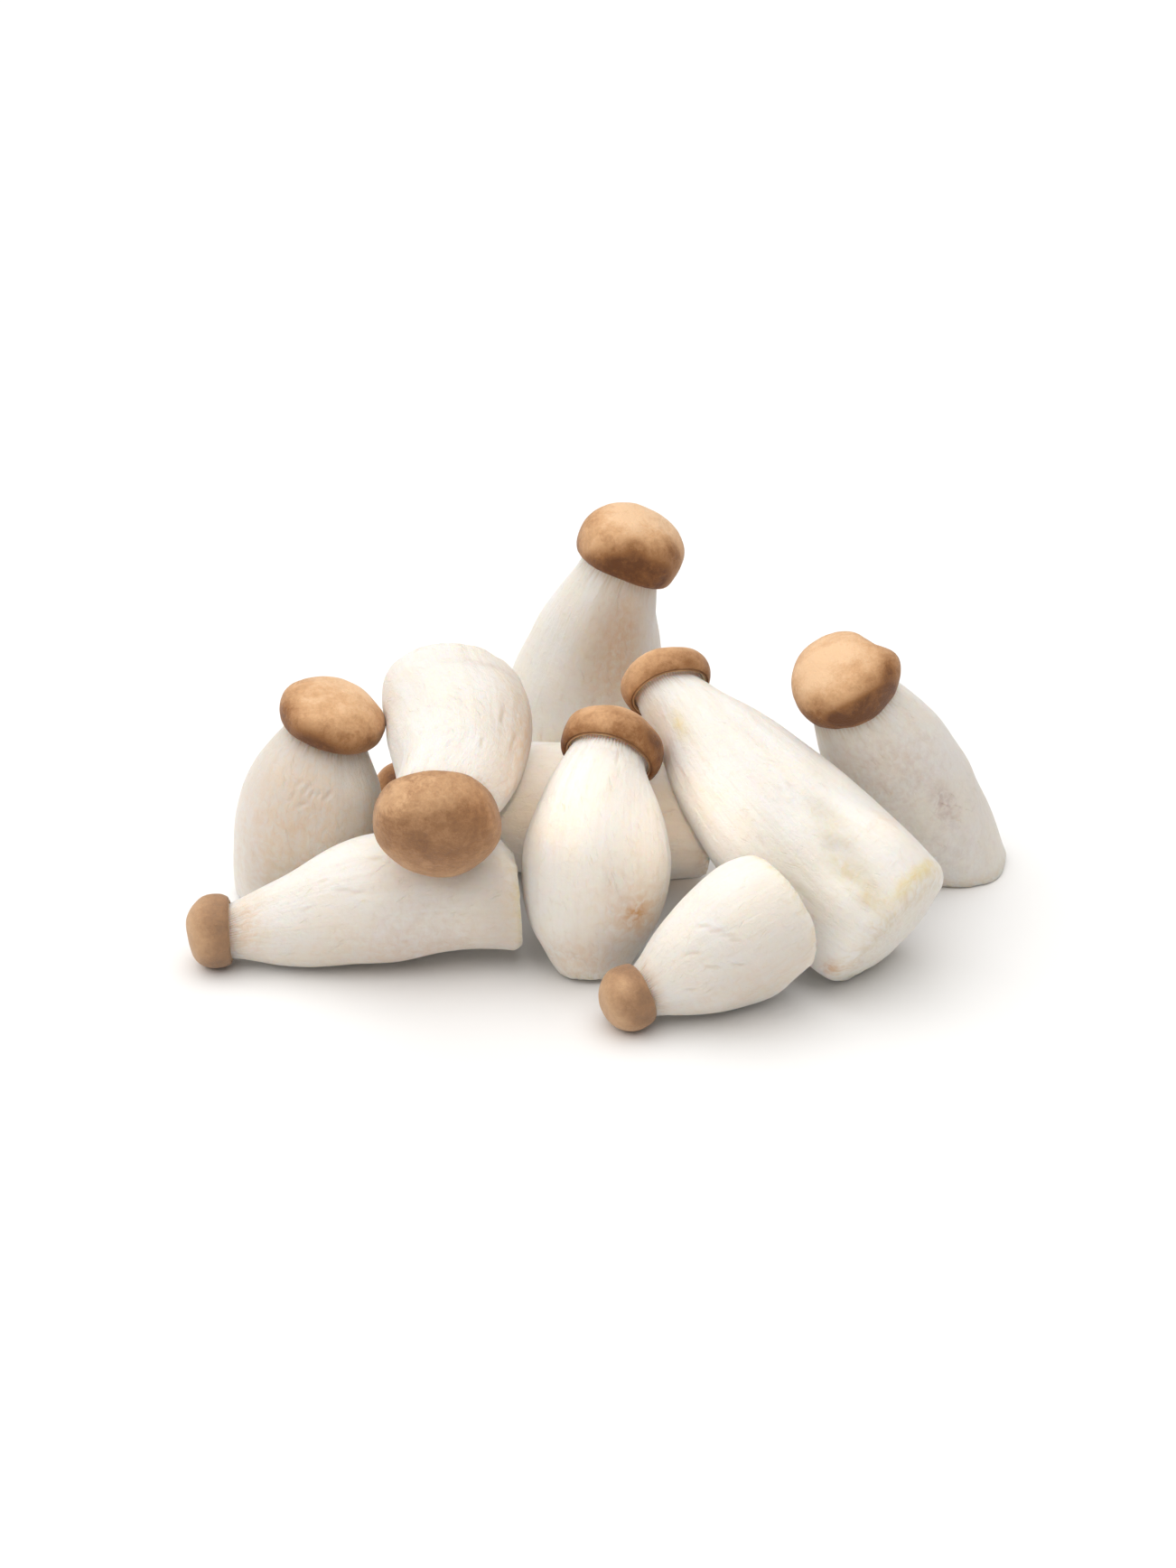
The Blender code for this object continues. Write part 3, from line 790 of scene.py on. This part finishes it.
class Paint:
    """A new material and short calls for the nodes it needs. A node's input is a value or another node's
    output."""

    def __init__(self, name, **surface):
        self.material = bpy.data.materials.new(name)
        self.material.use_nodes = True
        self.tree = self.material.node_tree
        self.shader = self.tree.nodes["Principled BSDF"]
        for socket, value in surface.items():
            self.shader.inputs[socket.replace("_", " ")].default_value = value

    def node(self, kind, inputs, output=0, **settings):
        made = self.tree.nodes.new("ShaderNode" + kind)
        for name, value in settings.items():
            setattr(made, name, value)
        for key, value in inputs.items():
            if isinstance(value, bpy.types.NodeSocket):
                self.tree.links.new(value, made.inputs[key])
            else:
                made.inputs[key].default_value = value
        return made.outputs[output]

    def field(self, name, output="Fac"):
        return self.node("Attribute", {}, output, attribute_name=name)

    def noise(self, place, size, detail=2.0, roughness=0.5, distortion=0.0):
        """A noise between 0 and 1 whose blobs are about size mm."""
        inputs = {
            "Vector": place,
            "Scale": 1 / size,
            "Detail": detail,
            "Roughness": roughness,
            "Distortion": distortion,
        }
        return self.node("TexNoise", inputs)

    def stretched(self, place, by):
        return self.node("VectorMath", {0: place, 1: by}, operation="MULTIPLY")

    def times(self, a, b):
        return self.node("Math", {0: a, 1: b}, operation="MULTIPLY")

    def plus(self, a, b, clamp=False):
        return self.node("Math", {0: a, 1: b}, operation="ADD", use_clamp=clamp)

    def between(self, value, low, high, to_low=0.0, to_high=1.0):
        """Maps low..high to to_low..to_high, smoothly, and holds it there."""
        inputs = {"Value": value, "From Min": low, "From Max": high, "To Min": to_low, "To Max": to_high}
        return self.node("MapRange", inputs, interpolation_type="SMOOTHSTEP")

    def ramp(self, share, stops):
        """The colour at a share, 0 to 1, of a run of colours through the stops."""
        made = self.tree.nodes.new("ShaderNodeValToRGB")
        self.tree.links.new(share, made.inputs[0])
        elements = made.color_ramp.elements
        while len(elements) < len(stops):
            elements.new(0.5)
        for element, (position, colour) in zip(elements, stops):
            element.position, element.color = position, colour
        return made.outputs[0]

    def mix(self, share, a, b):
        return self.node("Mix", {0: share, 6: a, 7: b}, 2, data_type="RGBA", clamp_factor=True)

    def covered(self, colour, *layers):
        """A colour under layers of others, each the share that it covers and its colour."""
        for share, over in layers:
            colour = self.mix(share, colour, over)
        return colour

    def bumps(self, *layers):
        """A normal bent by layers of bumps, each a height from 0 to 1 and what 1 stands for, in metres."""
        normal = None
        for height, distance in layers:
            inputs = {"Height": height, "Distance": distance, "Strength": 1.0}
            if normal is not None:
                inputs["Normal"] = normal
            normal = self.node("Bump", inputs)
        return normal

    def finish(self, colour, roughness, normal):
        for socket, output in (("Base Color", colour), ("Roughness", roughness), ("Normal", normal)):
            self.tree.links.new(output, self.shader.inputs[socket])
        return self.material


def rgb(red, green, blue):
    """A colour from its linear values."""
    return (red, green, blue, 1.0)


FLESH_WHITE = rgb(0.825, 0.807, 0.775)
FLESH_CREAM = rgb(0.835, 0.795, 0.725)
STREAK = rgb(0.76, 0.69, 0.60)
FIBRE = rgb(0.72, 0.65, 0.56)
MOTTLE = rgb(0.71, 0.63, 0.53)
SCAR = rgb(0.62, 0.52, 0.42)
CRUMB_PALE = rgb(0.80, 0.765, 0.70)
CRUMB_DEEP = rgb(0.745, 0.69, 0.60)
CUT_RIM = rgb(0.70, 0.59, 0.42)
GILL_SHADE = rgb(0.64, 0.50, 0.36)
# The colours of the stains and of the grey-beige painted shade, and how much of the flesh they cover at full
# strength. All but the painted shade are specked.
STAIN_AND_SHADE_PAINTS = {
    "painted_shade": (rgb(0.52, 0.47, 0.42), 0.6),
    "tan": (rgb(0.74, 0.56, 0.40), 0.75),
    "bruise": (rgb(0.52, 0.40, 0.37), 0.55),
    "ochre": (rgb(0.78, 0.67, 0.38), 0.8),
    "rust": (rgb(0.62, 0.32, 0.12), 0.75),
}

# The skin's browns from the darkest tone to the palest.
BROWNS = (
    (0.0, rgb(0.15, 0.055, 0.016)),
    (0.26, rgb(0.31, 0.135, 0.045)),
    (0.5, rgb(0.50, 0.265, 0.12)),
    (0.75, rgb(0.68, 0.40, 0.205)),
    (1.0, rgb(0.82, 0.545, 0.325)),
)
LIP_TAN = rgb(0.66, 0.43, 0.24)
# Painted shade in the groove beside the lip.
GROOVE_SHADE_BROWN = rgb(0.17, 0.07, 0.025)
DUST = rgb(0.42, 0.30, 0.20)
# Tones, as shares of the run of browns: the middle one, and what a soft, a pale and a dark part add.
MIDDLE_TONE = 0.6
SOFT_STEP = 0.28
SHARP_STEPS = {"pale": 0.19, "dark": -0.27}

FLOOR_PALE = rgb(0.88, 0.88, 0.88)
FLOOR_GREY = rgb(0.865, 0.865, 0.865)


def flesh():
    """Pale firm flesh: fine fibres along the stem, faint blotches, stains, and a coarser cut face."""
    paint = Paint(
        "mushroom_flesh",
        Subsurface_Weight=0.7,
        Subsurface_Radius=(1.0, 0.66, 0.42),
        Subsurface_Scale=0.012,
        Specular_IOR_Level=0.35,
    )
    grain = paint.field("grain", "Vector")
    oblique = paint.field("oblique", "Vector")
    fine = paint.noise(paint.stretched(grain, (1, 1, 0.12)), size=0.8, detail=4.0, roughness=0.65)
    streaks = paint.noise(
        paint.stretched(grain, (1, 1, 0.1)), size=3.2, detail=3.0, roughness=0.55, distortion=0.3
    )
    blotches = paint.noise(
        paint.stretched(grain, (1, 1, 0.6)), size=16.0, detail=3.0, roughness=0.55, distortion=0.6
    )
    mottle = paint.noise(grain, size=2.6, detail=4.0, roughness=0.62, distortion=0.5)
    pits = paint.noise(grain, size=1.3, detail=3.0, roughness=0.6)
    scars = paint.noise(paint.stretched(oblique, (1, 1, 0.22)), size=1.3)
    scars = paint.times(paint.between(scars, 0.62, 0.77), paint.between(blotches, 0.40, 0.56))

    colour = paint.covered(
        FLESH_WHITE,
        (paint.between(blotches, 0.38, 0.64), FLESH_CREAM),
        (paint.between(streaks, 0.47, 0.72, 0, 0.28), STREAK),
        (paint.between(fine, 0.45, 0.8, 0, 0.16), FIBRE),
        (paint.between(mottle, 0.54, 0.78, 0, 0.36), MOTTLE),
        (paint.times(scars, 0.1), SCAR),
    )

    specks = paint.between(mottle, 0.3, 0.66, 0.3, 1.2)
    for name, (stain_and_shade, most) in STAIN_AND_SHADE_PAINTS.items():
        share = paint.field(name)
        # The grey-beige painted shade is laid on evenly; the stains are specked.
        if name != "painted_shade":
            share = paint.times(share, specks)
        colour = paint.mix(paint.times(share, most), colour, stain_and_shade)

    cut_face = paint.field("cut_face")
    crumb = paint.mix(paint.between(pits, 0.35, 0.7), CRUMB_PALE, CRUMB_DEEP)
    # Painted shade in the grooves between the gills.
    shade = paint.times(paint.field("gill"), paint.between(paint.field("gill_ridge"), -0.5, 1.0, 1.0, 0.0))
    colour = paint.covered(
        colour,
        (paint.times(cut_face, 0.7), crumb),
        (paint.times(paint.field("cut_rim"), paint.between(mottle, 0.4, 0.65, 0.05, 0.5)), CUT_RIM),
        (paint.times(shade, 0.5), GILL_SHADE),
        (paint.times(paint.field("scar"), 0.14), SCAR),
    )

    roughness = paint.between(fine, 0.3, 0.8, 0.48, 0.62)
    normal = paint.bumps(
        (streaks, 0.0006),
        (mottle, 0.0006),
        (fine, 0.00012),
        (scars, -0.0003),
        (paint.times(pits, cut_face), 0.0003),
    )
    return paint.finish(colour, roughness, normal)


def cap_skin():
    """Matte brown skin: felted, mottled, paler at the crown and darker towards its rolled edge, partly
    painted light and shade, with a pale thin lip under it.
    """
    paint = Paint(
        "mushroom_cap_skin",
        Subsurface_Weight=0.12,
        Subsurface_Radius=(1.0, 0.6, 0.35),
        Subsurface_Scale=0.002,
        Specular_IOR_Level=0.3,
        Sheen_Weight=0.12,
        Sheen_Roughness=0.5,
    )
    place = paint.field("skin_place", "Vector")
    felt = paint.noise(place, size=0.5, detail=4.0, roughness=0.7)
    speckle = paint.noise(place, size=1.5, detail=4.0, roughness=0.65)
    patches = paint.noise(place, size=7.0, detail=4.0, roughness=0.55, distortion=0.3)
    broad = paint.noise(place, size=15.0)

    # Painted light and shade, partly the skin's own colour: paler at the crown, darker towards the rim and
    # under it.
    down = paint.between(paint.field("crown_share"), 0.3, 1.25, 0.16, -0.36)
    tone = paint.plus(paint.times(paint.field("tone"), SOFT_STEP), down)
    ragged = paint.plus(
        paint.between(patches, 0.3, 0.7, -0.2, 0.2), paint.between(speckle, 0.3, 0.7, -0.14, 0.14)
    )
    for name, step in SHARP_STEPS.items():
        share = paint.between(paint.plus(paint.field(name), ragged), 0.24, 0.86)
        tone = paint.plus(tone, paint.times(share, step))
    uneven = (
        paint.times(paint.between(patches, 0.35, 0.62, -0.2, 0.2), paint.field("mottled")),
        paint.between(broad, 0.3, 0.7, -0.08, 0.08),
        paint.between(speckle, 0.3, 0.7, -0.07, 0.07),
        paint.between(felt, 0.25, 0.75, -0.04, 0.04),
    )
    for part in uneven:
        tone = paint.plus(tone, part)
    tone = paint.plus(tone, MIDDLE_TONE, clamp=True)

    colour = paint.covered(
        paint.ramp(tone, BROWNS),
        (paint.times(paint.field("lip"), 0.7), LIP_TAN),
        (paint.times(paint.field("groove_shade"), 0.65), GROOVE_SHADE_BROWN),
        (paint.field("dusty"), DUST),
    )
    roughness = paint.between(speckle, 0.3, 0.7, 0.56, 0.72)
    normal = paint.bumps((patches, 0.0006), (speckle, 0.00035), (felt, 0.00012))
    return paint.finish(colour, roughness, normal)


def floor_paint():
    """A matte pale floor, very slightly uneven."""
    paint = Paint("studio_floor", Specular_IOR_Level=0.1)
    place = paint.stretched(paint.node("NewGeometry", {}, "Position"), (1 / MM, 1 / MM, 1 / MM))
    dust = paint.noise(place, size=60.0)
    roughness = paint.between(dust, 0.3, 0.7, 0.7, 0.8)
    return paint.finish(paint.mix(dust, FLOOR_GREY, FLOOR_PALE), roughness, paint.bumps((dust, 0.00005)))


# The studio

# The floor is this wide, so that in low views it reaches almost to the horizon.
FLOOR_SIZE = 200.0
# One very wide soft light, overhead and a little to the left, and a weak warm glow from all round.
KEY_FROM = (-0.22, -0.02, 1.0)
KEY_WIDTH = math.radians(95)
KEY_STRENGTH = 3.0
KEY_COLOUR = (1.0, 0.99, 0.975)
WORLD_STRENGTH = 0.34
WORLD_COLOUR = rgb(1.0, 0.97, 0.94)
# Two narrow warm lights beside the camera, each aimed at a hollow of the heap where back_lying shows.
FILL_FROM = (0.0, -0.95, 0.62)
FILL_AT = ((-0.0265, -0.008, 0.042), (0.026, -0.008, 0.031))
FILL_WIDTH = math.radians(2.8)
FILL_RADIUS = 0.01
FILL_WATTS = 22.0
FILL_COLOUR = (1.0, 0.72, 0.50)
# The camera's focal length is in pixels of the photograph, which is this high.
CAMERA_ELEVATION = math.radians(28)
CAMERA_DISTANCE = 1.1
CAMERA_TARGET = np.array([-0.0076, -0.0121, 0.05])
IMAGE_HEIGHT = 1736
FOCAL_PIXELS = 3465
SENSOR = 36.0


def add_light(name, kind, strength, colour, place, aim=(0, 0, 0)):
    """A light that shines from a place towards aim."""
    lamp = bpy.data.lights.new(name, kind)
    lamp.energy, lamp.color = strength, colour
    light = add_object(name, lamp)
    light.location = place
    light.rotation_mode = "QUATERNION"
    light.rotation_quaternion = (light.location - Vector(aim)).to_track_quat("Z", "Y")
    return lamp


def add_camera():
    data = bpy.data.cameras.new("camera")
    data.lens = FOCAL_PIXELS / IMAGE_HEIGHT * SENSOR
    data.sensor_width = SENSOR
    camera = add_object("camera", data)
    back = np.array([0.0, -math.cos(CAMERA_ELEVATION), math.sin(CAMERA_ELEVATION)])
    camera.location = CAMERA_TARGET + back * CAMERA_DISTANCE
    camera.rotation_euler = (QUARTER_TURN - CAMERA_ELEVATION, 0.0, 0.0)
    bpy.context.scene.camera = camera


def studio():
    half = FLOOR_SIZE / 2
    mesh = bpy.data.meshes.new("floor")
    corners = [(-half, -half, 0), (half, -half, 0), (half, half, 0), (-half, half, 0)]
    mesh.from_pydata(corners, [], [(0, 1, 2, 3)])
    mesh.materials.append(floor_paint())
    floor = add_object("floor", mesh)

    world = bpy.data.worlds.new("studio")
    world.use_nodes = True
    background = world.node_tree.nodes["Background"]
    background.inputs["Color"].default_value = WORLD_COLOUR
    background.inputs["Strength"].default_value = WORLD_STRENGTH
    bpy.context.scene.world = world

    key = add_light("key", "SUN", KEY_STRENGTH, KEY_COLOUR, KEY_FROM)
    key.angle = KEY_WIDTH
    for aim in FILL_AT:
        fill = add_light("fill", "SPOT", FILL_WATTS, FILL_COLOUR, FILL_FROM, aim)
        fill.spot_size, fill.spot_blend, fill.shadow_soft_size = FILL_WIDTH, 1.0, FILL_RADIUS

    add_camera()
    bpy.context.scene.view_settings.view_transform = "Standard"


studio()
paints = (flesh(), cap_skin())
for m in MUSHROOMS:
    piece = build(m, paints)
    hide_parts(m.name)
    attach(piece, "root")

bpy.context.view_layer.update()
